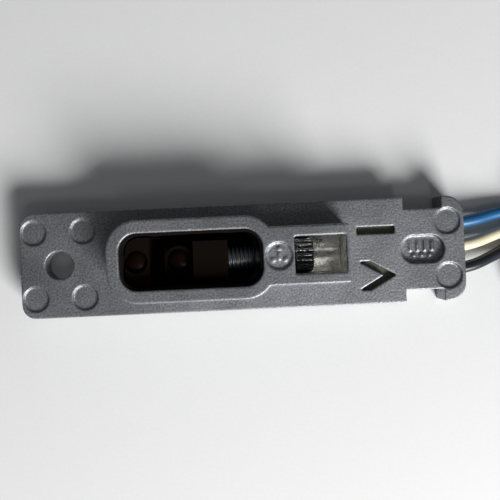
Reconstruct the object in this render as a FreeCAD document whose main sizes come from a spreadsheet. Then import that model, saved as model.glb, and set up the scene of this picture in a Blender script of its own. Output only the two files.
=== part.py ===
"""A distance-adjustable photoelectric sensor in a small die-cast bar.

Millimetres, +X toward the wires, +Z up, origin at the middle of the underside.
The mounting ear is at -X, then comes a racetrack collar round the light well, a bridge with the window of
the adjusting wheel, a platform and a notched tail that the three wires leave.
"""

import FreeCAD, Part
import Sketcher
import math
import os
import re

Vector = FreeCAD.Vector
ALONG_X = FreeCAD.Rotation(Vector(0, 1, 0), 90)

# ---------------------------------------------------------------------------------------------------------
# Driving dimensions
# ---------------------------------------------------------------------------------------------------------

dimensions = {
    # the casting
    "half_length": 27.5,
    "half_width": 6.5,
    "plate_top": 4.0,
    "rail_top": 8.0,
    "ear_bottom": 1.5,
    "ear_corner": 1.7,
    "tail_corner": 2.2,
    "cover_left": -18.6,
    "cover_right": 20.05,
    "skirt_bottom": 1.1,
    "mount_x": -22.7,
    "mount_radius": 1.75,
    "notch_right": 24.8,
    "notch_half_width": 5.0,
    # collar and well
    "collar_left": -16.1,
    "collar_right": 3.95,
    "collar_half_width": 4.95,
    "collar_corner": 3.7,
    "well_left": -14.6,
    "well_right": 2.45,
    "well_half_width": 3.4,
    "well_corner": 2.2,
    # bridge, window and the channel of the wheel
    "bridge_left": 3.0,
    "bridge_right": 12.7,
    "bridge_half_width": 3.5,
    "window_left": 6.2,
    "window_right": 12.3,
    "window_half_width": 2.23,
    "channel_radius": 2.4,
    # inside
    "cavity_left": -15.4,
    "cavity_right": 19.0,
    "cavity_half_width": 4.2,
    "cavity_ceiling": 2.9,
    "low_left": 3.6,
    "low_right": 12.9,
    "low_ceiling": 1.8,
    "tunnel_half_width": 4.1,
    "tunnel_floor": 0.9,
    "tunnel_ceiling": 2.9,
    # small features of the top
    "pin_mark_depth": 0.25,
    "ear_mark_radius": 1.55,
    "ear_mark_reach": 3.05,
    "ear_mark_offset": 4.1,
    "tail_mark_radius": 1.6,
    "tail_mark_x": 25.45,
    "tail_mark_offset": 3.37,
    "stamp_x": 4.35,
    "stamp_radius": 1.62,
    "oval_x": 22.3,
    "oval_half_length": 2.7,
    "oval_half_width": 1.74,
    "oval_corner": 1.7,
    "oval_depth": 0.75,
    "engraving_depth": 0.8,
    "engraving_x": 16.55,
    "engraving_half_length": 2.35,
    "engraving_stroke": 0.95,
    "bar_y": 2.6,
    "chevron_y": -3.0,
    "chevron_half_width": 1.8,
    # base cover, gasket, screws
    "cover_thickness": 0.8,
    "rib_height": 0.15,
    "rib_y": 3.1,
    "rib_half_width": 0.2,
    "gasket_inset": 0.3,
    "gasket_gap": 0.1,
    "screw_front_x": -17.0,
    "screw_front_y": 4.6,
    "screw_rear_x": 18.6,
    "screw_rear_y": 5.2,
    "screw_radius": 0.8,
    "screw_hole_radius": 0.85,
    "screw_head_radius": 1.2,
    "screw_head_sink": 0.05,
    "screw_tip": 3.1,
    "screw_hole_top": 3.3,
    # circuit board and its components
    "board_gap": 0.2,
    "board_bottom": 0.95,
    "board_top": 1.75,
    "led_half_size": 0.8,
    "led_height": 0.6,
    "led_dome_radius": 0.55,
    "diode_half_length": 1.6,
    "diode_half_width": 1.2,
    "diode_height": 0.75,
    "chip_left": 13.5,
    "chip_right": 16.5,
    "chip_half_width": 1.5,
    "chip_height": 0.9,
    "chip_lift": 0.1,
    "transistor_x": 15.0,
    "transistor_y": 3.0,
    # optics
    "frame_right": 1.5,
    "frame_half_width": 3.15,
    "frame_corner": 2.0,
    "frame_bottom": 1.95,
    "frame_floor": 2.75,
    "holder_left": -14.1,
    "holder_half_width": 2.9,
    "holder_corner": 1.7,
    "holder_right": -11.2,
    "holder_top": 6.3,
    "rail_inner": 2.75,
    "rail_height": 0.85,
    "emitter_x": -12.78,
    "emitter_bore": 1.15,
    "emitter_seat": 4.9,
    "lens_radius": 1.4,
    "lens_edge": 0.6,
    "lens_sphere": 2.2,
    # dark liner of the well
    "liner_gap": 0.05,
    "liner_wall": 0.25,
    "liner_bottom": 3.7,
    "liner_top": 7.6,
    "liner_slot_left": 1.2,
    "liner_slot_half_width": 2.05,
    "liner_slot_top": 6.8,
    # lens carriage
    "carriage_left": -9.45,
    "carriage_right": -1.75,
    "carriage_half_width": 2.67,
    "carriage_bottom": 2.8,
    "carriage_slab_top": 3.55,
    "nut_left": -5.9,
    "nut_half_width": 2.2,
    "nut_top": 6.6,
    "nut_bore": 1.55,
    "receiver_x": -7.75,
    "cell_radius": 1.75,
    "cell_top": 5.5,
    "cell_seat": 4.1,
    "cell_light_radius": 1.05,
    "aperture_thickness": 0.2,
    "slit_half_length": 0.9,
    "slit_half_width": 0.3,
    # adjuster
    "spindle_z": 4.6,
    "spindle_radius": 1.5,
    "spindle_tip": -4.3,
    "spindle_bore": 1.55,
    "clip_left": 1.9,
    "clip_right": 2.3,
    "clip_neck": 1.0,
    "clip_radius": 1.75,
    "clip_play": 0.03,
    "seal_x": 4.3,
    "seal_ring": 0.28,
    "seal_outer": 1.52,
    "seal_groove_half": 0.33,
    "seal_groove_radius": 0.94,
    "wheel_left": 6.3,
    "wheel_right": 8.6,
    "wheel_radius": 2.15,
    "wheel_spigot": 0.9,
    "flute_radius": 0.16,
    # wires
    "wire_radius": 0.75,
    "wire_start": 22.5,
    "grommet_left": 23.5,
    "grommet_right": 27.3,
    "grommet_gap": 0.05,
    "conductor_radius": 0.28,
    "conductor_z": 2.05,
    "conductor_left": 17.2,
    "tinned_radius": 0.35,
    "tinned_length": 3.0,
    "coil_x": 44.35,
    "coil_y": -3.19,
    "coil_inner": 5.45,
    "coil_outer": 10.15,
    "coil_height": 3.15,
}

doc = FreeCAD.newDocument("PhotoelectricSensor")
sheet = doc.addObject("Spreadsheet::Sheet", "Dimensions")
for row, (alias, size) in enumerate(dimensions.items(), 1):
    sheet.set(f"A{row}", alias)
    sheet.set(f"B{row}", str(size))
    sheet.setAlias(f"B{row}", alias)
doc.recompute()


def size_of(alias):
    """The number in one cell of the sheet."""
    return getattr(sheet, alias)


def bound(expression):
    """Point each alias of an expression at its cell."""
    return re.sub(
        r"[a-z_]+",
        lambda word: "Dimensions." + word.group() if word.group() in dimensions else word.group(),
        str(expression),
    )


# ---------------------------------------------------------------------------------------------------------
# Bodies: sketches, pads, pockets, rounds
# ---------------------------------------------------------------------------------------------------------

def new_body(label):
    body = doc.addObject("PartDesign::Body", label)
    body.Label = label
    return body


def rectangle(x_low, x_high, y_low, y_high):
    return [(x_low, y_low), (x_high, y_low), (x_high, y_high), (x_low, y_high)]


def across(x_low, x_high, half_width):
    """A rectangle centred on the long axis."""
    return rectangle(x_low, x_high, f"-{half_width}", half_width)


def mirrored(corners):
    """The same outline on the other side of the long axis."""
    return [(x, f"-({y})") for x, y in corners]


def pin(sketch, kind, geometry, point, expression):
    """Fix one coordinate of a sketch point to an expression."""
    index = sketch.addConstraint(Sketcher.Constraint(kind, -1, 1, geometry, point, 1.0))
    sketch.setExpression(f"Constraints[{index}]", bound(expression))


def draw_polygon(sketch, corners):
    first = sketch.GeometryCount
    count = len(corners)
    points = [
        Vector(math.cos(2 * math.pi * step / count), math.sin(2 * math.pi * step / count), 0)
        for step in range(count)
    ]
    for step in range(count):
        sketch.addGeometry(Part.LineSegment(points[step], points[(step + 1) % count]), False)
    for step, (x, y) in enumerate(corners):
        previous = first + (step - 1) % count
        sketch.addConstraint(Sketcher.Constraint("Coincident", previous, 2, first + step, 1))
        pin(sketch, "DistanceX", first + step, 1, x)
        pin(sketch, "DistanceY", first + step, 1, y)


def draw_circle(sketch, circle):
    x, y, radius = circle
    geometry = sketch.addGeometry(Part.Circle(Vector(0, 0, 0), Vector(0, 0, 1), 1), False)
    pin(sketch, "DistanceX", geometry, 3, x)
    pin(sketch, "DistanceY", geometry, 3, y)
    index = sketch.addConstraint(Sketcher.Constraint("Radius", geometry, 1.0))
    sketch.setExpression(f"Constraints[{index}]", bound(radius))


def new_sketch(body, name, plane, level, polygons=(), circles=()):
    """A sketch parallel to an origin plane of its body, at a level along the plane's normal."""
    sketch = body.newObject("Sketcher::SketchObject", name + "Sketch")
    support = [feature for feature in body.Origin.OriginFeatures if feature.Role == plane][0]
    sketch.AttachmentSupport = (support, [""])
    sketch.MapMode = "FlatFace"
    sketch.setExpression("AttachmentOffset.Base.z", bound(level))
    for corners in polygons:
        draw_polygon(sketch, corners)
    for circle in circles:
        draw_circle(sketch, circle)
    return sketch


def pad(body, name, low, high, polygons=(), circles=(), plane="XY_Plane"):
    feature = body.newObject("PartDesign::Pad", name)
    feature.Profile = new_sketch(body, name, plane, low, polygons, circles)
    feature.setExpression("Length", bound(f"({high}) - ({low})"))
    body.Tip = feature
    doc.recompute()
    return feature


def pocket(body, name, low, high, polygons=(), circles=(), plane="XY_Plane"):
    """Cut from the sketch's level toward the plane's normal, and make sure that it cuts."""
    before = body.Tip.Shape.Volume
    feature = body.newObject("PartDesign::Pocket", name)
    feature.Profile = new_sketch(body, name, plane, low, polygons, circles)
    feature.Reversed = True
    feature.setExpression("Length", bound(f"({high}) - ({low})"))
    body.Tip = feature
    doc.recompute()
    if feature.Shape.Volume >= before - 1e-6:
        raise RuntimeError(f"{body.Label}: pocket {name} cuts nothing")
    return feature


def upright_edges(feature, corners):
    """Names of the edges along Z through the given (x, y) corners."""
    names = []
    for number, edge in enumerate(feature.Shape.Edges, 1):
        ends = [vertex.Point for vertex in edge.Vertexes]
        if len(ends) != 2 or abs(ends[0].z - ends[1].z) < 1e-3:
            continue
        for x, y in corners:
            if all(math.hypot(end.x - x, end.y - y) < 1e-3 for end in ends):
                names.append(f"Edge{number}")
    return names


def round_uprights(body, name, ends, half_width, radius):
    """Fillet the upright edges of the body's last feature at x = each end, y = either side."""
    feature = body.Tip
    places = [(x, side * half_width) for x in ends for side in (-1, 1)]
    fillet = body.newObject("PartDesign::Fillet", name)
    fillet.Base = (feature, upright_edges(feature, places))
    fillet.setExpression("Radius", bound(radius))
    body.Tip = fillet
    doc.recompute()


# ---------------------------------------------------------------------------------------------------------
# Primitives and booleans
# ---------------------------------------------------------------------------------------------------------

def named(kind, name):
    piece = doc.addObject(kind, name)
    piece.Label = name
    return piece


def place(piece, x, y, z):
    for axis, expression in (("x", x), ("y", y), ("z", z)):
        piece.setExpression(f"Placement.Base.{axis}", bound(expression))


def box(name, x_low, x_high, y_low, y_high, z_low, z_high):
    piece = named("Part::Box", name)
    piece.setExpression("Length", bound(f"({x_high}) - ({x_low})"))
    piece.setExpression("Width", bound(f"({y_high}) - ({y_low})"))
    piece.setExpression("Height", bound(f"({z_high}) - ({z_low})"))
    place(piece, x_low, y_low, z_low)
    return piece


def post(name, x, y, z_low, z_high, radius):
    """A cylinder along Z."""
    piece = named("Part::Cylinder", name)
    piece.setExpression("Radius", bound(radius))
    piece.setExpression("Height", bound(f"({z_high}) - ({z_low})"))
    place(piece, x, y, z_low)
    return piece


def rod(name, x_low, x_high, y, z, radius):
    """A cylinder along X."""
    piece = named("Part::Cylinder", name)
    piece.setExpression("Radius", bound(radius))
    piece.setExpression("Height", bound(f"({x_high}) - ({x_low})"))
    piece.Placement = FreeCAD.Placement(Vector(0, 0, 0), ALONG_X)
    place(piece, x_low, y, z)
    return piece


def ball(name, x, y, z, radius):
    piece = named("Part::Sphere", name)
    piece.setExpression("Radius", bound(radius))
    place(piece, x, y, z)
    return piece


def fuse(name, pieces):
    piece = named("Part::MultiFuse", name)
    piece.Shapes = pieces
    return piece


def cut(name, base, tool):
    piece = named("Part::Cut", name)
    piece.Base = base
    piece.Tool = tool
    return piece


def group(name, pieces):
    piece = named("Part::Compound", name)
    piece.Links = pieces
    return piece


# ---------------------------------------------------------------------------------------------------------
# Casing
# ---------------------------------------------------------------------------------------------------------

SCREWS = [
    ("screw_front_x", "screw_front_y"),
    ("screw_front_x", "-screw_front_y"),
    ("screw_rear_x", "screw_rear_y"),
    ("screw_rear_x", "-screw_rear_y"),
]


def chevron():
    """The six corners of an arrow-like mark that points along +X."""
    tip = "engraving_x + engraving_half_length"
    back = "engraving_x - engraving_half_length"
    stroke = "1.6 * engraving_stroke"
    return [
        (back, "chevron_y - chevron_half_width"),
        (f"{back} + {stroke}", "chevron_y - chevron_half_width"),
        (tip, "chevron_y"),
        (f"{back} + {stroke}", "chevron_y + chevron_half_width"),
        (back, "chevron_y + chevron_half_width"),
        (f"{tip} - {stroke}", "chevron_y"),
    ]


def housing():
    """Die-cast bar: plate, skirt and tail block, with the collar and the bridge standing on the plate."""
    body = new_body("housing")
    pad(body, "Plate", "ear_bottom", "plate_top", [across("-half_length", "half_length", "half_width")])
    pad(body, "Skirt", "skirt_bottom", "ear_bottom", [across("cover_left", "half_length", "half_width")])
    pad(body, "TailBlock", "0", "skirt_bottom", [across("cover_right", "half_length", "half_width")])
    round_uprights(body, "EarCorners", [-size_of("half_length")], size_of("half_width"), "ear_corner")
    round_uprights(body, "TailCorners", [size_of("half_length")], size_of("half_width"), "tail_corner")
    pad(body, "Collar", "plate_top", "rail_top", [across("collar_left", "collar_right", "collar_half_width")])
    round_uprights(body, "CollarCorners", [size_of("collar_left"), size_of("collar_right")],
                   size_of("collar_half_width"), "collar_corner")
    pad(body, "Bridge", "plate_top", "rail_top", [across("bridge_left", "bridge_right", "bridge_half_width")])
    pocket(body, "Well", "cavity_ceiling", "rail_top + 1",
           [across("well_left", "well_right", "well_half_width")])
    round_uprights(body, "WellCorners", [size_of("well_left"), size_of("well_right")],
                   size_of("well_half_width"), "well_corner")
    pocket(body, "FrontCavity", "skirt_bottom - 1", "cavity_ceiling",
           [across("cavity_left", "low_left", "cavity_half_width")])
    pocket(body, "LowCavity", "skirt_bottom - 1", "low_ceiling",
           [across("low_left - 0.1", "low_right", "cavity_half_width")])
    pocket(body, "RearCavity", "skirt_bottom - 1", "cavity_ceiling",
           [across("low_right - 0.1", "cavity_right", "cavity_half_width")])
    pocket(body, "WireTunnel", "cavity_right - 0.1", "half_length + 1",
           [rectangle("-tunnel_half_width", "tunnel_half_width", "tunnel_floor", "tunnel_ceiling")],
           plane="YZ_Plane")
    pocket(body, "SpindleBore", "well_right - 0.5", "window_left + 0.5",
           circles=[("0", "spindle_z", "spindle_bore")], plane="YZ_Plane")
    pocket(body, "WheelChannel", "window_left", "window_right",
           circles=[("0", "spindle_z", "channel_radius")], plane="YZ_Plane")
    pocket(body, "Window", "spindle_z", "rail_top + 1",
           [across("window_left", "window_right", "window_half_width")])
    notch = rectangle("cover_right", "notch_right", "notch_half_width", "half_width + 1")
    pocket(body, "SideNotches", "-1", "plate_top + 1", [notch, mirrored(notch)])
    pocket(body, "MountingHole", "ear_bottom - 1", "plate_top + 1",
           circles=[("mount_x", "0", "mount_radius")])
    ear_marks = [
        (f"mount_x {sign_x} ear_mark_reach", f"{sign_y}ear_mark_offset", "ear_mark_radius")
        for sign_x in "+-" for sign_y in ("", "-")
    ]
    tail_marks = [("tail_mark_x", f"{sign}tail_mark_offset", "tail_mark_radius") for sign in ("", "-")]
    pocket(body, "PinMarks", "plate_top - pin_mark_depth", "plate_top + 1", circles=ear_marks + tail_marks)
    pocket(body, "Stamp", "rail_top - pin_mark_depth", "rail_top + 1",
           circles=[("stamp_x", "0", "stamp_radius")])
    oval = across("oval_x - oval_half_length", "oval_x + oval_half_length", "oval_half_width")
    pocket(body, "OvalRecess", "plate_top - oval_depth", "plate_top + 1", [oval])
    oval_ends = [size_of("oval_x") + sign * size_of("oval_half_length") for sign in (-1, 1)]
    round_uprights(body, "OvalEnds", oval_ends, size_of("oval_half_width"), "oval_corner")
    bar = rectangle("engraving_x - engraving_half_length", "engraving_x + engraving_half_length",
                    "bar_y - engraving_stroke / 2", "bar_y + engraving_stroke / 2")
    pocket(body, "Engravings", "plate_top - engraving_depth", "plate_top + 1", [bar, chevron()])
    pocket(body, "ScrewHoles", "skirt_bottom - 1", "screw_hole_top",
           circles=[(x, y, "screw_hole_radius") for x, y in SCREWS])
    return body


def base_cover():
    """Flat plate under the housing, with two ribs that carry the board and four countersunk holes."""
    body = new_body("base_cover")
    pad(body, "CoverPlate", "0", "cover_thickness", [across("cover_left", "cover_right", "half_width")])
    rib = rectangle("cavity_left + 1.5", "cavity_right - 1.5",
                    "rib_y - rib_half_width", "rib_y + rib_half_width")
    pad(body, "Ribs", "cover_thickness", "cover_thickness + rib_height", [rib, mirrored(rib)])
    pocket(body, "CoverHoles", "-1", "cover_thickness + 1",
           circles=[(x, y, "screw_hole_radius") for x, y in SCREWS])
    feature = body.Tip
    rims = [
        f"Edge{number}" for number, edge in enumerate(feature.Shape.Edges, 1)
        if len(edge.Vertexes) == 1 and abs(edge.Vertexes[0].Z) < 1e-3
    ]
    chamfer = body.newObject("PartDesign::Chamfer", "Countersinks")
    chamfer.Base = (feature, rims)
    chamfer.setExpression("Size", bound("screw_head_radius - screw_hole_radius"))
    body.Tip = chamfer
    doc.recompute()
    return body


def cover_gasket():
    body = new_body("cover_gasket")
    pad(body, "Sheet", "cover_thickness", "skirt_bottom",
        [across("cover_left + gasket_inset", "cover_right - gasket_inset", "(half_width - gasket_inset)")])
    pocket(body, "Opening", "cover_thickness - 1", "skirt_bottom + 1",
           [across("cavity_left - gasket_gap", "cavity_right + gasket_gap", "cavity_half_width")])
    pocket(body, "GasketHoles", "cover_thickness - 1", "skirt_bottom + 1",
           circles=[(x, y, "screw_hole_radius") for x, y in SCREWS])
    return body


def cover_screws():
    """Four countersunk screws, their heads just under the cover's face."""
    screws = []
    for number, (x, y) in enumerate(SCREWS, 1):
        neck = "screw_head_radius - screw_hole_radius"
        head = named("Part::Cone", f"screw_head_{number}")
        head.setExpression("Radius1", bound("screw_head_radius - screw_head_sink"))
        head.setExpression("Radius2", bound("screw_hole_radius"))
        head.setExpression("Height", bound(f"{neck} - screw_head_sink"))
        place(head, x, y, "screw_head_sink")
        shank = post(f"screw_shank_{number}", x, y, neck, "screw_tip", "screw_radius")
        slot = box(f"screw_slot_{number}", f"{x} - 1.5", f"{x} + 1.5", f"{y} - 0.15", f"{y} + 0.15",
                   "0", "0.25")
        screws.append(cut(f"screw_{number}", fuse(f"screw_blank_{number}", [head, shank]), slot))
    return group("cover_screws", screws)


# ---------------------------------------------------------------------------------------------------------
# Electronics
# ---------------------------------------------------------------------------------------------------------

def circuit_board():
    body = new_body("circuit_board")
    pad(body, "Board", "board_bottom", "board_top",
        [across("cavity_left + board_gap", "cavity_right - board_gap", "(cavity_half_width - board_gap)")])
    return body


def emitter_led():
    half = "led_half_size"
    package = box("led_package", f"emitter_x - {half}", f"emitter_x + {half}", f"-{half}", half,
                  "board_top", "board_top + led_height")
    dome = ball("led_dome", "emitter_x", "0", "board_top + led_height", "led_dome_radius")
    return fuse("emitter_led", [package, dome])


def photodiode():
    return box("photodiode", "receiver_x - diode_half_length", "receiver_x + diode_half_length",
               "-diode_half_width", "diode_half_width", "board_top", "board_top + diode_height")


def legs(name, x, y, count, pitch, reach):
    """A row of leads on each side of a package centred at (x, y), standing on the board."""
    row = []
    for step in range(count):
        offset = (step - (count - 1) / 2) * pitch
        row.append(box(f"{name}_leg_{step}", f"{x} + {offset - 0.12}", f"{x} + {offset + 0.12}",
                       f"{y} - {reach}", f"{y} + {reach}", "board_top", "board_top + 0.2"))
    return row


def amplifier_chip():
    package = box("amplifier_package", "chip_left", "chip_right", "-chip_half_width", "chip_half_width",
                  "board_top + chip_lift", "board_top + chip_lift + chip_height")
    leads = legs("amplifier", "(chip_left + chip_right) / 2", "0", 4, 0.65, 2.0)
    return fuse("amplifier_chip", [package] + leads)


def output_transistor():
    package = box("transistor_package", "transistor_x - 1.45", "transistor_x + 1.45", "transistor_y - 0.5",
                  "transistor_y + 0.5", "board_top + chip_lift", "board_top + chip_lift + chip_height")
    leads = legs("transistor", "transistor_x", "transistor_y", 3, 0.95, 0.75)
    return fuse("output_transistor", [package] + leads)


def chip_parts(name, places, half_length, half_width, height):
    """Small two-terminal parts lying on the board."""
    chips = []
    for number, (x, y) in enumerate(places, 1):
        chips.append(box(f"{name}_{number}", x - half_length, x + half_length, y - half_width, y + half_width,
                         "board_top", f"board_top + {height}"))
    return group(name, chips)


# ---------------------------------------------------------------------------------------------------------
# Optics
# ---------------------------------------------------------------------------------------------------------

def optics_frame():
    """Moulded tray under the well: the emitter's holder at one end and the rails of the carriage."""
    body = new_body("optics_frame")
    pad(body, "Holder", "frame_bottom", "holder_top",
        [across("holder_left", "holder_right", "holder_half_width")])
    round_uprights(body, "HolderCorners", [size_of("holder_left")], size_of("holder_half_width"),
                   "holder_corner")
    pad(body, "Tray", "frame_bottom", "frame_floor",
        [across("holder_right - 1", "frame_right", "frame_half_width")])
    round_uprights(body, "TrayCorners", [size_of("frame_right")], size_of("frame_half_width"), "frame_corner")
    rail = rectangle("holder_right - 0.1", "frame_right - frame_corner", "rail_inner", "frame_half_width")
    pad(body, "Rails", "frame_floor", "frame_floor + rail_height", [rail, mirrored(rail)])
    pocket(body, "EmitterBore", "frame_bottom - 1", "holder_top + 1",
           circles=[("emitter_x", "0", "emitter_bore")])
    pocket(body, "EmitterSeat", "emitter_seat", "holder_top + 1",
           circles=[("emitter_x", "0", "lens_radius")])
    pocket(body, "ReceiverOpening", "frame_bottom - 1", "frame_floor + 0.5",
           [across("receiver_x - 2.2", "receiver_x + 2.2", "(diode_half_width + 0.4)")])
    return body


def well_block(label, inset, low, high):
    """A block with the well's outline, smaller all round by the inset."""
    body = new_body(label)
    pad(body, label + "_pad", low, high,
        [across(f"well_left + {inset}", f"well_right - {inset}", f"(well_half_width - {inset})")])
    block = body.Shape.BoundBox
    round_uprights(body, label + "_corners", [block.XMin, block.XMax], block.YMax, f"well_corner - {inset}")
    return body


def well_liner():
    """Dark sleeve that lines the well above the rails, slotted where the spindle comes in."""
    sleeve = well_block("liner_blank", "liner_gap", "liner_bottom", "liner_top")
    mouth = well_block("liner_mouth", "(liner_gap + liner_wall)", "liner_bottom - 1", "liner_top + 1")
    slot = box("liner_slot", "liner_slot_left", "well_right + 1", "-liner_slot_half_width",
               "liner_slot_half_width", "liner_bottom - 1", "liner_slot_top")
    return cut("well_liner", sleeve, fuse("liner_openings", [mouth, slot]))


def lens(name, x, seat):
    """Plano-convex lens on a flat seat: a disc topped by part of a sphere."""
    blank = post(f"{name}_blank", x, "0", seat, f"{seat} + 2", "lens_radius")
    centre = f"{seat} + lens_edge - sqrt(lens_sphere ^ 2 - lens_radius ^ 2)"
    bulge = ball(f"{name}_sphere", x, "0", centre, "lens_sphere")
    piece = named("Part::MultiCommon", name)
    piece.Shapes = [blank, bulge]
    return piece


def lens_carriage():
    """Slab between the rails, with the nut of the spindle at one end and the receiver's lens cell."""
    body = new_body("lens_carriage")
    pad(body, "Slab", "carriage_bottom", "carriage_slab_top",
        [across("carriage_left", "carriage_right", "carriage_half_width")])
    pad(body, "Nut", "carriage_slab_top", "nut_top", [across("nut_left", "carriage_right", "nut_half_width")])
    pad(body, "Cell", "carriage_slab_top", "cell_top", circles=[("receiver_x", "0", "cell_radius")])
    pocket(body, "CellSeat", "cell_seat", "cell_top + 1", circles=[("receiver_x", "0", "lens_radius")])
    pocket(body, "LightHole", "carriage_bottom - 1", "cell_seat + 0.5",
           circles=[("receiver_x", "0", "cell_light_radius")])
    pocket(body, "NutBore", "nut_left", "carriage_right + 1",
           circles=[("0", "spindle_z", "nut_bore")], plane="YZ_Plane")
    return body


def aperture_plate():
    disc = post("aperture_disc", "receiver_x", "0", "cell_seat", "cell_seat + aperture_thickness",
                "lens_radius")
    slit = box("aperture_slit", "receiver_x - slit_half_width", "receiver_x + slit_half_width",
               "-slit_half_length", "slit_half_length", "cell_seat - 0.5", "cell_seat + 1")
    return cut("aperture_plate", disc, slit)


# ---------------------------------------------------------------------------------------------------------
# Adjuster
# ---------------------------------------------------------------------------------------------------------

def axial(name, x_low, x_high, radius):
    """A cylinder on the spindle's axis."""
    return rod(name, x_low, x_high, "0", "spindle_z", radius)


def adjuster_spindle():
    """Spindle with the grooves of its clip and O-ring and the spigot of the wheel."""
    thread = axial("spindle_thread", "spindle_tip", "clip_left", "spindle_radius")
    neck = axial("spindle_neck", "clip_left - 0.1", "clip_right + 0.1", "clip_neck")
    inner = axial("spindle_inner", "clip_right", "seal_x - seal_groove_half", "spindle_radius")
    groove = axial("spindle_groove", "seal_x - 0.5", "seal_x + 0.5", "seal_groove_radius")
    outer = axial("spindle_outer", "seal_x + seal_groove_half", "wheel_left", "spindle_radius")
    spigot = axial("spindle_spigot", "wheel_left - 0.1", "wheel_right", "wheel_spigot")
    return fuse("adjuster_spindle", [thread, neck, inner, groove, outer, spigot])


def adjuster_wheel():
    """Finger wheel with flutes, pressed on the spigot."""
    flute_count = 24
    tools = [axial("wheel_bore", "wheel_left - 1", "wheel_right + 1", "wheel_spigot")]
    for step in range(flute_count):
        turn = 360 / flute_count * step
        tools.append(rod(f"wheel_flute_{step}", "wheel_left - 1", "wheel_right + 1",
                         f"wheel_radius * cos({turn})", f"spindle_z + wheel_radius * sin({turn})",
                         "flute_radius"))
    blank = axial("wheel_blank", "wheel_left", "wheel_right", "wheel_radius")
    return cut("adjuster_wheel", blank, fuse("wheel_tools", tools))


def retaining_clip():
    """E-shaped clip in the groove of the spindle, open at the bottom."""
    disc = axial("clip_disc", "clip_left + clip_play", "clip_right - clip_play", "clip_radius")
    eye = axial("clip_eye", "clip_left - 1", "clip_right + 1", "clip_neck")
    mouth = box("clip_mouth", "clip_left - 1", "clip_right + 1", "-0.8 * clip_neck", "0.8 * clip_neck",
                "spindle_z - clip_radius - 1", "spindle_z")
    return cut("retaining_clip", disc, fuse("clip_opening", [eye, mouth]))


def spindle_seal():
    ring = named("Part::Torus", "spindle_seal")
    ring.setExpression("Radius1", bound("seal_outer - seal_ring"))
    ring.setExpression("Radius2", bound("seal_ring"))
    ring.Placement = FreeCAD.Placement(Vector(0, 0, 0), ALONG_X)
    place(ring, "seal_x", "0", "spindle_z")
    return ring


# ---------------------------------------------------------------------------------------------------------
# Wires
# ---------------------------------------------------------------------------------------------------------

# Each route lies from the inside of the tail to the coil; each tail runs from the coil to the bare tip.
ROUTES = {
    "blue_wire": [(22.5, 2.95, 1.9), (27.9, 2.95, 1.9), (33.2, 4.15, 0.95), (38.1, 4.67, 0.77)],
    "white_wire": [(22.5, -0.1, 1.9), (27.9, -0.1, 1.9), (33.6, 1.65, 0.95), (36.1, 2.33, 0.82)],
    "black_wire": [(22.5, -2.95, 1.9), (27.9, -2.95, 1.9), (33.0, -0.85, 0.95), (35.3, 0.5, 0.84)],
}
TAILS = {
    "blue_wire": [(48.4, 5.95, 2.3), (50.29, 5.82, 1.55)],
    "white_wire": [(53.07, -7.89, 2.3), (53.39, -9.76, 1.55)],
    "black_wire": [(39.13, -11.49, 2.3), (37.33, -12.1, 1.55)],
}


def tube(route, radius):
    """Straight runs joined by tangent arcs, each as large as its two runs allow."""
    points = [Vector(*point) for point in route]
    edges = []
    start = points[0]
    radii = []
    for before, corner, after in zip(points, points[1:], points[2:]):
        inward = (before - corner).normalize()
        outward = (after - corner).normalize()
        turn = math.pi - inward.getAngle(outward)
        reach = 0.45 * min((before - corner).Length, (after - corner).Length)
        bend = reach / math.tan(turn / 2)
        radii.append(round(bend, 1))
        first = corner + inward * reach
        last = corner + outward * reach
        middle = corner + (inward + outward).normalize() * (bend / math.cos(turn / 2) - bend)
        edges.append(Part.LineSegment(start, first).toShape())
        edges.append(Part.Arc(first, middle, last).toShape())
        start = last
    edges.append(Part.LineSegment(start, points[-1]).toShape())
    path = Part.Wire(edges)
    section = Part.Wire([Part.Circle(points[0], points[1] - points[0], radius).toShape()])
    solid = path.makePipeShell([section], True, False)
    expected = math.pi * radius ** 2 * path.Length
    print(f"  radii {radii}, length {path.Length:.1f}, volume {solid.Volume:.2f} of {expected:.2f}")
    return solid


def shape_node(label, shape):
    piece = doc.addObject("Part::Feature", label)
    piece.Label = label
    piece.Shape = shape
    piece.Placement = FreeCAD.Placement()
    return piece


def wire(label):
    """Insulated wire: the stretch before the coil and the free tail after it."""
    print(label)
    radius = size_of("wire_radius")
    return shape_node(label, Part.makeCompound([tube(ROUTES[label], radius), tube(TAILS[label], radius)]))


def tinned_ends():
    """Stripped and tinned tips, in line with the tails of the wires."""
    tips = []
    for tail in TAILS.values():
        before, end = Vector(*tail[-2]), Vector(*tail[-1])
        direction = (end - before).normalize()
        tips.append(Part.makeCylinder(size_of("tinned_radius"), size_of("tinned_length"), end, direction))
    return shape_node("tinned_ends", Part.makeCompound(tips))


def wire_coil():
    """Outer shape of the flat coil of the three wires, two layers high."""
    body = new_body("wire_coil")
    pad(body, "Ring", "0", "coil_height", circles=[("coil_x", "coil_y", "coil_outer")])
    pocket(body, "Eye", "-1", "coil_height + 1", circles=[("coil_x", "coil_y", "coil_inner")])
    return body


def wire_grommet():
    """Rubber block in the tunnel with a tight hole for each wire."""
    block = box("grommet_block", "grommet_left", "grommet_right",
                "-tunnel_half_width + grommet_gap", "tunnel_half_width - grommet_gap",
                "tunnel_floor + grommet_gap", "tunnel_ceiling - grommet_gap")
    holes = [
        rod(f"grommet_hole_{number}", "grommet_left - 1", "grommet_right + 1", ROUTES[label][0][1],
            ROUTES[label][0][2], "wire_radius")
        for number, label in enumerate(ROUTES, 1)
    ]
    return cut("wire_grommet", block, fuse("grommet_holes", holes))


def lead_conductors():
    """Bare ends of the conductors inside, just above the board."""
    return group("lead_conductors", [
        rod(f"conductor_{number}", "conductor_left", "wire_start", ROUTES[label][0][1], "conductor_z",
            "conductor_radius")
        for number, label in enumerate(ROUTES, 1)
    ])


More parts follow.
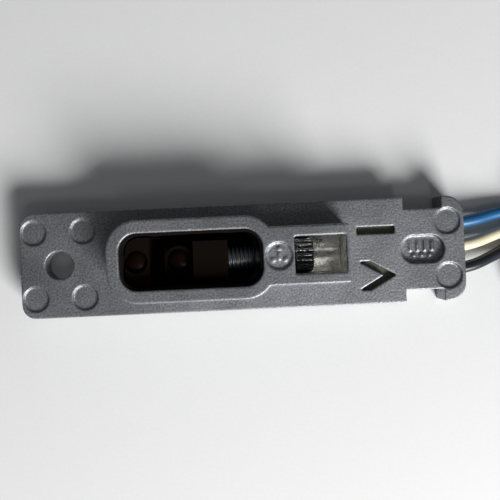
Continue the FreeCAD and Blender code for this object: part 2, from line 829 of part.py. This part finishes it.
# ---------------------------------------------------------------------------------------------------------
# Assembly
# ---------------------------------------------------------------------------------------------------------

capacitor_places = [(x, y) for x in (-8.0, -3.0) for y in (-3.7, 3.7)]
resistor_places = [(x, y) for x in (-5.5, -0.5) for y in (-3.7, 3.7)]
sub_parts = [
    housing(),
    base_cover(),
    cover_gasket(),
    cover_screws(),
    circuit_board(),
    emitter_led(),
    photodiode(),
    amplifier_chip(),
    output_transistor(),
    chip_parts("chip_capacitors", capacitor_places, 0.5, 0.25, 0.6),
    chip_parts("chip_resistors", resistor_places, 0.5, 0.25, 0.4),
    optics_frame(),
    well_liner(),
    lens("emitter_lens", "emitter_x", "emitter_seat"),
    lens_carriage(),
    aperture_plate(),
    lens("receiver_lens", "receiver_x", "(cell_seat + aperture_thickness)"),
    adjuster_spindle(),
    adjuster_wheel(),
    retaining_clip(),
    spindle_seal(),
    wire_grommet(),
    lead_conductors(),
    *[wire(label) for label in ROUTES],
    wire_coil(),
    tinned_ends(),
]
doc.recompute()

for item in doc.Objects:
    if "Invalid" in item.State or "Error" in item.State:
        raise RuntimeError(f"{item.Name}: {item.State}")
for piece in sub_parts:
    if piece.Shape.isNull() or not piece.Shape.isValid():
        raise RuntimeError(f"{piece.Label}: bad shape")

os.makedirs("parts", exist_ok=True)
for piece in sub_parts:
    piece.Shape.exportStep(f"parts/{piece.Label}.step")
    print(piece.Label, len(piece.Shape.Solids), round(piece.Shape.Volume, 2))
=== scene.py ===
"""A small die-cast photoelectric sensor lying on pale paper, seen from straight above.

Metres, +X toward the leads, +Z up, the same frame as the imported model. The bare sizes and points below are
in millimetres unless they are multiplied by MM.
"""

import math

import bmesh
import bpy
from mathutils import Matrix, Vector


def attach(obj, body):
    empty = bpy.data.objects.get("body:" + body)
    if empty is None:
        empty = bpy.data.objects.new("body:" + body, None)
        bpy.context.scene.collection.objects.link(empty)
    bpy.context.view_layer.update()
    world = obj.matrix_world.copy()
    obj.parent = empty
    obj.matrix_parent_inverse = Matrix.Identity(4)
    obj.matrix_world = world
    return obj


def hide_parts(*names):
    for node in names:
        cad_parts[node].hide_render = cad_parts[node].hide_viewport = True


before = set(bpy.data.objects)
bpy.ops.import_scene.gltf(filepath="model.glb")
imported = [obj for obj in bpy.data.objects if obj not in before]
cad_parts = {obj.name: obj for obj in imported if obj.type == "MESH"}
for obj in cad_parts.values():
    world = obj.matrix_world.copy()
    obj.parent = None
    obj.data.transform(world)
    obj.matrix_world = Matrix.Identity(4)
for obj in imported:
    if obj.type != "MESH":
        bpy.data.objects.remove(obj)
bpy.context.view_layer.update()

MM = 0.001


def mm(*values):
    """A vector given in millimetres."""
    return Vector(values) * MM


# ---------------------------------------------------------------------------------------------------------
# Camera
# ---------------------------------------------------------------------------------------------------------

CAMERA_PLACE = mm(0.946, 0.843, 84.0)
CAMERA_ROLL = math.radians(-2.6)
CAMERA_LENS = 46.6


def add_camera():
    """Looks straight down, turned a little so that the sensor lies slightly askew in the picture."""
    data = bpy.data.cameras.new("Camera")
    data.lens = CAMERA_LENS
    data.clip_start = MM
    camera = bpy.data.objects.new("Camera", data)
    camera.location = CAMERA_PLACE
    camera.rotation_euler = (0, 0, CAMERA_ROLL)
    bpy.context.scene.collection.objects.link(camera)
    bpy.context.scene.camera = camera


add_camera()

# ---------------------------------------------------------------------------------------------------------
# Leads
# ---------------------------------------------------------------------------------------------------------

WIRE_DIAMETER = 1.5 * MM
COIL_CENTRE = mm(44.35, -3.19, 0)
COIL_ENTRY = 107.0       # degrees round the coil's centre where the leads come in; they run clockwise
COIL_STEP = 28.0         # degrees between the points of the coil
FIRST_LAYER = 0.76       # height of the wires' middles in the lower turn
SECOND_LAYER = 2.40      # and in the turn that lies on it
CLIMB = (245.0, 285.0)   # degrees of sweep between which a lead climbs to the second layer

LEADS = {
    "blue_wire": {
        "route": [(22.5, 2.95, 1.9), (27.9, 2.95, 1.9), (33.2, 4.4, 0.95), (38.1, 4.67, 0.77)],
        "radius": 9.4, "sweep": 381.0,
        "tail": [(48.4, 5.95, 2.3), (50.29, 5.82, 1.55)],
    },
    "white_wire": {
        "route": [(22.5, -0.1, 1.9), (27.9, -0.1, 1.9), (33.6, 1.95, 0.95), (36.1, 2.33, 0.82)],
        "radius": 7.8, "sweep": 457.3,
        "tail": [(52.7, -5.8, 2.4), (53.07, -7.89, 2.3), (53.39, -9.76, 1.55)],
    },
    "black_wire": {
        "route": [(22.5, -2.95, 1.9), (27.9, -2.95, 1.9), (33.0, -0.85, 0.95), (35.3, 0.5, 0.84)],
        "radius": 6.2, "sweep": 538.4,
        "tail": [(42.1, -10.5, 2.4), (39.13, -11.49, 2.3), (37.33, -12.1, 1.55)],
    },
}


def coil_points(radius, sweep):
    """Points round the flat coil, clockwise from the entry, the second turn lying on the first."""
    count = round(sweep / COIL_STEP)
    reach = radius / math.cos(math.radians(COIL_STEP / 2))
    points = []
    for step in range(count + 1):
        swept = sweep * step / count
        angle = math.radians(COIL_ENTRY - swept)
        climbed = min(max((swept - CLIMB[0]) / (CLIMB[1] - CLIMB[0]), 0), 1)
        height = FIRST_LAYER + (SECOND_LAYER - FIRST_LAYER) * climbed
        points.append(COIL_CENTRE + mm(reach * math.cos(angle), reach * math.sin(angle), height))
    return points


def add_lead(name, lead):
    """One insulated lead: out of the tail of the housing, round the coil and out to its bare tip."""
    points = [mm(*point) for point in lead["route"]]
    points += coil_points(lead["radius"], lead["sweep"])
    points += [mm(*point) for point in lead["tail"]]
    curve = bpy.data.curves.new(name + "_curve", "CURVE")
    curve.dimensions = "3D"
    curve.bevel_depth = 1.0          # times each point's radius
    curve.bevel_resolution = 6
    curve.use_fill_caps = True
    spline = curve.splines.new("NURBS")
    spline.points.add(len(points) - 1)
    for knot, point in zip(spline.points, points):
        knot.co = (*point, 1)
        knot.radius = WIRE_DIAMETER / 2
    spline.order_u = 3               # quadratic: the curve touches each leg of its control polygon
    spline.use_endpoint_u = True
    spline.resolution_u = 12
    piece = bpy.data.objects.new(name + "_insulation", curve)
    bpy.context.scene.collection.objects.link(piece)
    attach(piece, "casing")
    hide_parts(name, "wire_coil")
    return piece


# ---------------------------------------------------------------------------------------------------------
# Materials
# ---------------------------------------------------------------------------------------------------------

GLOSS_SPREAD = 0.08      # how far the roughness wanders either way over a surface


def new_material(name, roughness, metallic=0.0, **sockets):
    """A principled material and its shader; sockets sets others of its inputs by name."""
    material = bpy.data.materials.new(name)
    material.use_nodes = True
    shader = material.node_tree.nodes["Principled BSDF"]
    shader.inputs["Roughness"].default_value = roughness
    shader.inputs["Metallic"].default_value = metallic
    for socket, value in sockets.items():
        shader.inputs[socket.replace("_", " ")].default_value = value
    return material, shader


def add_noise(material, size, detail=3.0):
    """Noise with grains of about the given size in metres, in object coordinates."""
    nodes, links = material.node_tree.nodes, material.node_tree.links
    place = nodes.new("ShaderNodeTexCoord")
    noise = nodes.new("ShaderNodeTexNoise")
    noise.inputs["Scale"].default_value = 1 / size
    noise.inputs["Detail"].default_value = detail
    noise.inputs["Roughness"].default_value = 0.55
    links.new(place.outputs["Object"], noise.inputs["Vector"])
    return noise.outputs["Fac"]


def add_ramp(material, factor, stops):
    """Colours spread over the factor: stops is [(position, (r, g, b)), ...]."""
    ramp = material.node_tree.nodes.new("ShaderNodeValToRGB")
    elements = ramp.color_ramp.elements
    while len(elements) < len(stops):
        elements.new(0.5)
    for element, (position, colour) in zip(elements, stops):
        element.position = position
        element.color = (*colour, 1)
    material.node_tree.links.new(factor, ramp.inputs["Fac"])
    return ramp.outputs["Color"]


def add_bump(material, shader, height, strength, depth):
    """Relief of the given depth in metres on the shader's surface."""
    bump = material.node_tree.nodes.new("ShaderNodeBump")
    bump.inputs["Strength"].default_value = strength
    bump.inputs["Distance"].default_value = depth
    links = material.node_tree.links
    links.new(height, bump.inputs["Height"])
    links.new(bump.outputs["Normal"], shader.inputs["Normal"])


def scaled(colour, factor):
    """The colour made lighter or darker, held at white."""
    return tuple(min(channel * factor, 1) for channel in colour)


def grained(name, colour, roughness, metallic=0.0, spread=0.15, grain=0.2 * MM, bump=0.3, depth=0.02 * MM,
            patches=3 * MM, **sockets):
    """A surface with fine grain, slow patches of colour, and uneven gloss."""
    material, shader = new_material(name, roughness, metallic, **sockets)
    links = material.node_tree.links
    fine = add_noise(material, grain)
    slow = add_noise(material, patches, detail=2.0)
    darker, lighter = scaled(colour, 1 - spread), scaled(colour, 1 + spread)
    fine_colour = add_ramp(material, fine, [(0.3, darker), (0.7, lighter)])
    slow_colour = add_ramp(material, slow, [(0.35, (1 - spread / 2,) * 3), (0.65, (1, 1, 1))])
    mix = material.node_tree.nodes.new("ShaderNodeMix")
    mix.data_type = "RGBA"
    mix.blend_type = "MULTIPLY"
    mix.inputs["Factor"].default_value = 1.0
    links.new(fine_colour, mix.inputs["A"])
    links.new(slow_colour, mix.inputs["B"])
    links.new(mix.outputs["Result"], shader.inputs["Base Color"])
    rough = material.node_tree.nodes.new("ShaderNodeMapRange")
    rough.inputs["To Min"].default_value = max(roughness - GLOSS_SPREAD, 0.02)
    rough.inputs["To Max"].default_value = roughness + GLOSS_SPREAD
    links.new(slow, rough.inputs["Value"])
    links.new(rough.outputs["Result"], shader.inputs["Roughness"])
    add_bump(material, shader, fine, bump, depth)
    return material


materials = {
    "housing": grained("die_cast_metal", (0.288, 0.295, 0.312), 0.50, 0.8, spread=0.40, grain=0.25 * MM,
                       bump=1.0, depth=0.036 * MM, patches=6 * MM),
    "base_cover": grained("cover_plastic", (0.02, 0.02, 0.022), 0.5, grain=0.15 * MM, bump=0.25),
    "cover_gasket": grained("gasket_rubber", (0.018, 0.018, 0.018), 0.75, grain=0.1 * MM),
    "cover_screws": grained("screw_steel", (0.42, 0.42, 0.43), 0.32, 1.0, grain=0.1 * MM, bump=0.15),
    "circuit_board": grained("board_laminate", (0.010, 0.062, 0.028), 0.35, grain=0.5 * MM, bump=0.1),
    "emitter_led": grained("led_resin", (0.55, 0.50, 0.44), 0.15, bump=0.05),
    "photodiode": grained("diode_resin", (0.012, 0.009, 0.014), 0.2, bump=0.05),
    "amplifier_chip": grained("chip_resin", (0.014, 0.014, 0.015), 0.55, grain=0.08 * MM),
    "output_transistor": grained("transistor_resin", (0.014, 0.014, 0.015), 0.55, grain=0.08 * MM),
    "chip_capacitors": grained("ceramic", (0.32, 0.20, 0.11), 0.4, grain=0.1 * MM),
    "chip_resistors": grained("resistor_glaze", (0.02, 0.02, 0.024), 0.3, grain=0.1 * MM),
    "optics_frame": grained("frame_plastic", (0.0062, 0.0040, 0.0031), 0.7, grain=0.12 * MM,
                            Specular_IOR_Level=0.03),
    "well_liner": grained("liner_plastic", (0.0085, 0.0065, 0.0055), 0.7, grain=0.12 * MM,
                          Specular_IOR_Level=0.05),
    "emitter_lens": grained("emitter_glass", (0.008, 0.0035, 0.0028), 0.3, bump=0.02, spread=0.05,
                            Specular_IOR_Level=0.08),
    "lens_carriage": grained("carriage_plastic", (0.0058, 0.0038, 0.0030), 0.7, grain=0.12 * MM,
                             Specular_IOR_Level=0.03),
    "aperture_plate": grained("black_sheet", (0.015, 0.015, 0.016), 0.5, 0.6, grain=0.1 * MM),
    "receiver_lens": grained("receiver_glass", (0.008, 0.0035, 0.0028), 0.3, bump=0.02, spread=0.05,
                             Specular_IOR_Level=0.08),
    "adjuster_spindle": grained("zinced_steel", (0.15, 0.155, 0.165), 0.42, 0.75, grain=0.1 * MM),
    "adjuster_wheel": grained("wheel_plastic", (0.010, 0.011, 0.012), 0.16, grain=0.9 * MM, bump=1.0,
                              depth=0.35 * MM, Coat_Weight=0.6, Coat_Roughness=0.12),
    "retaining_clip": grained("spring_steel", (0.10, 0.10, 0.105), 0.35, 1.0, grain=0.1 * MM),
    "spindle_seal": grained("seal_rubber", (0.012, 0.012, 0.012), 0.6, grain=0.1 * MM),
    "wire_grommet": grained("grommet_rubber", (0.018, 0.018, 0.020), 0.7, grain=0.12 * MM, bump=0.4),
    "lead_conductors": grained("tinned_copper", (0.50, 0.46, 0.42), 0.3, 1.0, grain=0.1 * MM, bump=0.1),
    "tinned_ends": grained("tinned_strands", (0.55, 0.54, 0.52), 0.28, 1.0, grain=0.1 * MM, bump=0.1),
    "blue_wire": grained("blue_insulation", (0.011, 0.112, 0.275), 0.38, spread=0.06, grain=0.3 * MM,
                         bump=0.12, patches=4 * MM),
    "white_wire": grained("cream_insulation", (0.76, 0.68, 0.48), 0.36, spread=0.04, grain=0.3 * MM,
                          bump=0.12, patches=4 * MM),
    "black_wire": grained("black_insulation", (0.016, 0.020, 0.026), 0.30, spread=0.1, grain=0.3 * MM,
                          bump=0.12, patches=4 * MM),
}
# Parts of the casting: the smoother wheel channel, a painted highlight on its end and top, darker cut-mark
# floors.
channel_metal = grained("bright_channel", (0.64, 0.635, 0.61), 0.27, 0.85, spread=0.25, grain=0.5 * MM,
                        bump=0.6, depth=0.05 * MM, patches=1.2 * MM)
# A painted highlight: near-white metal where the channel's end and upper side show lit.
painted_highlight_end = grained("channel_painted_highlight", (0.95, 0.94, 0.89), 0.27, 0.45, spread=0.04, grain=0.5 * MM,
                      bump=0.4, depth=0.05 * MM, patches=1.2 * MM)
# Darker metal on the floors of the cut marks.
dark_mark_floors = grained("dark_cut_floor", (0.12, 0.12, 0.098), 0.7, 0.3, spread=0.3, grain=0.25 * MM,
                     bump=0.8, depth=0.05 * MM, patches=1.5 * MM)


def dress(piece, *coats):
    """Give the piece these materials and no others."""
    piece.data.materials.clear()
    for coat in coats:
        piece.data.materials.append(coat)


# ---------------------------------------------------------------------------------------------------------
# Mesh tools
# ---------------------------------------------------------------------------------------------------------

def mesh_piece(name, bm, body, node, smooth_angle=math.radians(40)):
    """Turn a bmesh in metres into a piece that rides on a body and stands for a CAD node."""
    mesh = bpy.data.meshes.new(name)
    bmesh.ops.recalc_face_normals(bm, faces=bm.faces)
    bm.to_mesh(mesh)
    bm.free()
    for polygon in mesh.polygons:
        polygon.use_smooth = True
    mesh.set_sharp_from_angle(angle=smooth_angle)
    piece = bpy.data.objects.new(name, mesh)
    bpy.context.scene.collection.objects.link(piece)
    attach(piece, body)
    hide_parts(node)
    dress(piece, materials[node])
    return piece


def box_part(bm, low, high):
    """A closed box between two corners in millimetres, for joining into a casting."""
    low, high = Vector(low), Vector(high)
    place = Matrix.Translation((low + high) / 2) @ Matrix.Diagonal((*(high - low), 1))
    bmesh.ops.create_cube(bm, size=1.0, matrix=place)


def post_part(bm, foot, radius, height):
    """A closed upright cylinder in millimetres, standing on the middle of its foot."""
    place = Matrix.Translation(Vector(foot) + Vector((0, 0, height / 2)))
    bmesh.ops.create_cone(bm, cap_ends=True, segments=20, radius1=radius, radius2=radius, depth=height,
                          matrix=place)


def cast(name, body, node, voxel, rounds, keep, extras=None):
    """The node's solid as a casting: extra solids merged in, edges and inner corners softly rounded.

    voxel is the grain of the remeshing in millimetres, rounds how often it is smoothed, and keep the share of
    its faces that stay.
    """
    bm = bmesh.new()
    bm.from_mesh(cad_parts[node].data)
    bmesh.ops.scale(bm, vec=(1 / MM,) * 3, verts=bm.verts)
    bmesh.ops.remove_doubles(bm, verts=bm.verts, dist=1e-4)
    if extras:
        extras(bm)
    mesh = bpy.data.meshes.new(name + "_rough")
    bm.to_mesh(mesh)
    bm.free()
    rough = bpy.data.objects.new(name + "_rough", mesh)
    bpy.context.scene.collection.objects.link(rough)
    remesh = rough.modifiers.new("Remesh", "REMESH")
    remesh.mode = "VOXEL"
    remesh.voxel_size = voxel
    smooth = rough.modifiers.new("Smooth", "SMOOTH")
    smooth.factor = 0.5
    smooth.iterations = rounds
    if keep < 1:
        thin = rough.modifiers.new("Thin", "DECIMATE")
        thin.ratio = keep
    graph = bpy.context.evaluated_depsgraph_get()
    bm = bmesh.new()
    bm.from_mesh(rough.evaluated_get(graph).to_mesh())
    bpy.data.objects.remove(rough)
    bmesh.ops.scale(bm, vec=(MM,) * 3, verts=bm.verts)
    return mesh_piece(name, bm, body, node, smooth_angle=math.radians(75))


# ---------------------------------------------------------------------------------------------------------
# Casing
# ---------------------------------------------------------------------------------------------------------

PLATE_TOP = 4.0
RAIL_TOP = 8.0

STAMP_X = 4.35
STAMP_FLOOR = RAIL_TOP - 0.30
STAMP_DOT_ANGLES = (90, 210, 330)
STAMP_DOT_CIRCLE = 0.85
STAMP_DOT_RADIUS = 0.22
STAMP_BAR_HALF = (0.12, 0.45)
STAMP_RISE = 0.17

RECESS_FLOOR = PLATE_TOP - 0.80
RECESS_BAR_PLACES = (20.9, 21.8, 22.7, 23.6)
RECESS_BAR_HALF_WIDTH = 0.14
RECESS_BAR_ENDS = (-0.15, 0.95)
RECESS_BAR_RISE = 0.28
RECESS_DOT_PLACES = (21.3, 22.3, 23.3)
RECESS_DOT_Y = -0.75
RECESS_DOT_RADIUS = 0.24
RECESS_DOT_RISE = 0.26

# Boxes round the wheel's channel and the cut marks; where the channel's painted end highlight begins on its
# middle.
CHANNEL_LOW = (6.2, -2.42, 2.0)
CHANNEL_HIGH = (12.3, 2.42, 7.7)
PAINTED_HIGHLIGHT_FROM = 10.9
PAINTED_HIGHLIGHT_SLANT = 0.5
MARKS_LOW = (14.1, -5.0, 3.05)
MARKS_HIGH = (19.0, 3.2, 3.8)


def housing_marks(bm):
    """Plain raised marks: bars and dots on the stamp and in the oval recess."""
    for angle in STAMP_DOT_ANGLES:
        turn = math.radians(angle)
        foot = (STAMP_X + STAMP_DOT_CIRCLE * math.cos(turn), STAMP_DOT_CIRCLE * math.sin(turn), STAMP_FLOOR)
        post_part(bm, foot, STAMP_DOT_RADIUS, STAMP_RISE)
    half_x, half_y = STAMP_BAR_HALF
    box_part(bm, (STAMP_X - half_x, -half_y, STAMP_FLOOR),
             (STAMP_X + half_x, half_y, STAMP_FLOOR + STAMP_RISE))
    low_y, high_y = RECESS_BAR_ENDS
    for x in RECESS_BAR_PLACES:
        box_part(bm, (x - RECESS_BAR_HALF_WIDTH, low_y, RECESS_FLOOR),
                 (x + RECESS_BAR_HALF_WIDTH, high_y, RECESS_FLOOR + RECESS_BAR_RISE))
    for x in RECESS_DOT_PLACES:
        post_part(bm, (x, RECESS_DOT_Y, RECESS_FLOOR), RECESS_DOT_RADIUS, RECESS_DOT_RISE)


def within(point, low, high):
    """Whether the point lies inside the box between two corners."""
    return all(least < value < most for least, value, most in zip(low, point, high))


def add_housing():
    """The die-cast housing: its channel, a painted highlight on the channel's end and the darker cut marks in
    their own materials.
    """
    piece = cast("housing_casting", "casing", "housing", voxel=0.11, rounds=4,
                 keep=0.3, extras=housing_marks)
    dress(piece, materials["housing"], channel_metal, painted_highlight_end, dark_mark_floors)
    for polygon in piece.data.polygons:
        centre = polygon.center / MM
        if within(centre, CHANNEL_LOW, CHANNEL_HIGH):
            # index 2: a painted highlight, lighter metal on the channel's end, reaching further left on its
            # upper side
            polygon.material_index = 2 if centre.x > PAINTED_HIGHLIGHT_FROM - PAINTED_HIGHLIGHT_SLANT * centre.y else 1
        elif within(centre, MARKS_LOW, MARKS_HIGH):
            # darker floors in the cut marks
            polygon.material_index = 3


# ---------------------------------------------------------------------------------------------------------
# Adjuster
# ---------------------------------------------------------------------------------------------------------

SPINDLE_AXIS = Vector((0, 0, 4.6))
SPINDLE_RADIUS = 1.5
SPINDLE_TIP_RADIUS = 0.9
THREAD_ROOT = 1.2
THREAD_PITCH = 0.5
THREAD_LEFT = -4.3
THREAD_RIGHT = 1.65
THREAD_CREST = 1.25      # over 1, so that the crest is flat
THREAD_FLANK = 3.2       # thread heights that the flanks rise in one pitch
THREAD_RUN_IN = 0.4
THREAD_RUN_OUT = 0.3
TIP_CHAMFER = 0.02
TURN_STEPS = 48
PITCH_STEPS = 12

# Places along the spindle and radii there: the groove of the clip, the groove of the seal and the spigot.
SHANK = (
    (1.7, 1.45), (1.88, 1.47), (1.9, 1.0), (2.3, 1.0), (2.32, 1.47), (2.4, 1.5), (3.94, 1.5), (3.97, 0.94),
    (4.63, 0.94), (4.66, 1.5), (6.22, 1.5), (6.3, 1.44), (6.3, 0.9), (8.52, 0.9), (8.6, 0.82),
)


def ring(bm, x, radii):
    """A ring of vertices round the spindle's axis, with one radius for each of its steps."""
    turns = [2 * math.pi * step / len(radii) for step in range(len(radii))]
    return [
        bm.verts.new((SPINDLE_AXIS + Vector((x, radius * math.cos(turn), radius * math.sin(turn)))) * MM)
        for radius, turn in zip(radii, turns)
    ]


def skin(bm, rings, close_ends=True):
    """Faces between successive rings, and caps on the ends."""
    for first, second in zip(rings, rings[1:]):
        for step in range(len(first)):
            after = (step + 1) % len(first)
            bm.faces.new((first[step], first[after], second[after], second[step]))
    if close_ends:
        bm.faces.new(reversed(rings[0]))
        bm.faces.new(rings[-1])


def thread_radius(x, turn):
    """Radius of a right-hand 60 degree thread at a place along the spindle and round it."""
    phase = (x / THREAD_PITCH - turn) % 1.0
    height = min(max(THREAD_CREST - abs(phase - 0.5) * THREAD_FLANK, 0.0), 1.0)
    run_out = min((x - THREAD_LEFT) / THREAD_RUN_IN, (THREAD_RIGHT - x) / THREAD_RUN_OUT, 1.0)
    return THREAD_ROOT + (SPINDLE_RADIUS - THREAD_ROOT) * height * max(run_out, 0.0)


def add_spindle():
    """The spindle: its chamfered tip, the thread and the grooved shank."""
    bm = bmesh.new()
    rings = [ring(bm, THREAD_LEFT, [SPINDLE_TIP_RADIUS] * TURN_STEPS)]
    samples = round((THREAD_RIGHT - THREAD_LEFT) / THREAD_PITCH * PITCH_STEPS)
    for index in range(samples + 1):
        x = THREAD_LEFT + TIP_CHAMFER + (THREAD_RIGHT - THREAD_LEFT - TIP_CHAMFER) * index / samples
        rings.append(ring(bm, x, [thread_radius(x, step / TURN_STEPS) for step in range(TURN_STEPS)]))
    for x, radius in SHANK:
        rings.append(ring(bm, x, [radius] * TURN_STEPS))
    skin(bm, rings)
    mesh_piece("spindle_thread", bm, "adjuster", "adjuster_spindle")


WHEEL_LEFT = 6.3
WHEEL_RIGHT = 8.6
WHEEL_RADIUS = 2.15
WHEEL_BORE = 0.9
FLUTES = 20
FLUTE_STEPS = 12

# Round the wheel's section: place along the axis, radius, and depth of the flutes.
WHEEL_SECTION = (
    (WHEEL_LEFT, WHEEL_BORE, 0),
    (WHEEL_LEFT, WHEEL_RADIUS - 0.35, 0),
    (WHEEL_LEFT + 0.1, WHEEL_RADIUS - 0.12, 0.05),
    (WHEEL_LEFT + 0.3, WHEEL_RADIUS, 0.3),
    (WHEEL_RIGHT - 0.3, WHEEL_RADIUS, 0.3),
    (WHEEL_RIGHT - 0.1, WHEEL_RADIUS - 0.12, 0.05),
    (WHEEL_RIGHT, WHEEL_RADIUS - 0.35, 0),
    (WHEEL_RIGHT - 0.02, WHEEL_RADIUS - 0.6, 0),
    (WHEEL_RIGHT - 0.35, WHEEL_RADIUS - 0.75, 0),
    (WHEEL_RIGHT - 0.35, WHEEL_BORE + 0.15, 0),
    (WHEEL_RIGHT - 0.2, WHEEL_BORE, 0),
)


def fluted_radius(radius, depth, step):
    """Radius at a step round the wheel, least in the middle of a flute."""
    return radius - depth * (0.5 - 0.5 * math.cos(2 * math.pi * step / FLUTE_STEPS)) ** 2


def add_wheel():
    """Fluted finger wheel with rounded rims, a dished face and its bore on the spigot."""
    bm = bmesh.new()
    rings = [
        ring(bm, x, [fluted_radius(radius, depth, step) for step in range(FLUTES * FLUTE_STEPS)])
        for x, radius, depth in WHEEL_SECTION
    ]
    skin(bm, rings + [rings[0]], close_ends=False)
    mesh_piece("fluted_wheel", bm, "adjuster", "adjuster_wheel")


# ---------------------------------------------------------------------------------------------------------
# Bare tips
# ---------------------------------------------------------------------------------------------------------

OUTER_STRANDS = 6
STRAND_RADIUS = 0.11
STRAND_CIRCLE = 0.23     # radius of the circle of the outer strands' middles
STRAND_LAY = 2.6         # length of one twist
STRAND_SIDES = 10
TIP_LENGTH = 3.0
TIP_STEPS = 24


def add_tip(name, tail):
    """Seven tinned strands, six of them twisted round the middle one."""
    start = mm(*tail[-1])
    direction = (start - mm(*tail[-2])).normalized()
    side = Vector((-direction.y, direction.x, 0)).normalized()
    up = direction.cross(side)
    bm = bmesh.new()
    corners = [2 * math.pi * corner / STRAND_SIDES for corner in range(STRAND_SIDES)]
    for strand in range(OUTER_STRANDS + 1):
        offset = 0.0 if strand == OUTER_STRANDS else STRAND_CIRCLE
        rings = []
        for step in range(TIP_STEPS + 1):
            along = TIP_LENGTH * step / TIP_STEPS
            turn = 2 * math.pi * (along / STRAND_LAY + strand / OUTER_STRANDS)
            outward = side * math.cos(turn) + up * math.sin(turn)
            centre = start + direction * along * MM + outward * offset * MM
            rings.append([
                bm.verts.new(centre + (side * math.cos(corner) + up * math.sin(corner)) * STRAND_RADIUS * MM)
                for corner in corners
            ])
        skin(bm, rings)
    return mesh_piece(name, bm, "casing", "tinned_ends")


# ---------------------------------------------------------------------------------------------------------
# Pieces
# ---------------------------------------------------------------------------------------------------------

for wire_name, lead in LEADS.items():
    insulation = add_lead(wire_name, lead)
    dress(insulation, materials[wire_name])
    tip = add_tip(wire_name.replace("wire", "tip"), lead["tail"])

add_housing()
add_spindle()
add_wheel()
cast("rubber_grommet", "casing", "wire_grommet", voxel=0.09, rounds=4, keep=0.4)
for node_name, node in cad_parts.items():
    if node_name in materials:
        dress(node, materials[node_name])

# ---------------------------------------------------------------------------------------------------------
# Floor and light
# ---------------------------------------------------------------------------------------------------------

FLOOR_HALF_SIDE = 0.6
FLOOR_HEIGHT = -0.00002  # just under the base, so that the two faces don't fight


def add_floor():
    """Pale paper under the sensor."""
    bm = bmesh.new()
    bm.faces.new([
        bm.verts.new((x * FLOOR_HALF_SIDE, y * FLOOR_HALF_SIDE, FLOOR_HEIGHT))
        for x, y in ((-1, -1), (1, -1), (1, 1), (-1, 1))
    ])
    mesh = bpy.data.meshes.new("paper")
    bm.to_mesh(mesh)
    bm.free()
    floor = bpy.data.objects.new("paper", mesh)
    bpy.context.scene.collection.objects.link(floor)
    dress(floor, grained("paper", (0.80, 0.80, 0.795), 0.9, spread=0.015, grain=0.4 * MM, bump=0.05))


def add_light(name, direction, distance, size, power):
    """A square lamp at a distance from the origin, facing it; metres and watts."""
    data = bpy.data.lights.new(name, "AREA")
    data.shape = "SQUARE"
    data.size = size
    data.energy = power
    lamp = bpy.data.objects.new(name, data)
    way = Vector(direction).normalized()
    lamp.location = way * distance
    lamp.rotation_euler = way.to_track_quat("Z", "Y").to_euler()
    bpy.context.scene.collection.objects.link(lamp)


def add_world(strength):
    """Weak, slightly cool light from all round."""
    world = bpy.data.worlds.new("Studio")
    world.use_nodes = True
    background = world.node_tree.nodes["Background"]
    background.inputs["Color"].default_value = (0.92, 0.96, 1.0, 1)
    background.inputs["Strength"].default_value = strength
    bpy.context.scene.world = world


add_floor()
add_light("Key", direction=(0.55, -1.0, 0.67), distance=0.42, size=0.19, power=3.05)
add_light("Lamp", direction=(0.15, -0.45, 0.90), distance=0.30, size=0.06, power=0.036)
add_world(strength=0.09)
bpy.context.scene.view_settings.view_transform = "Standard"
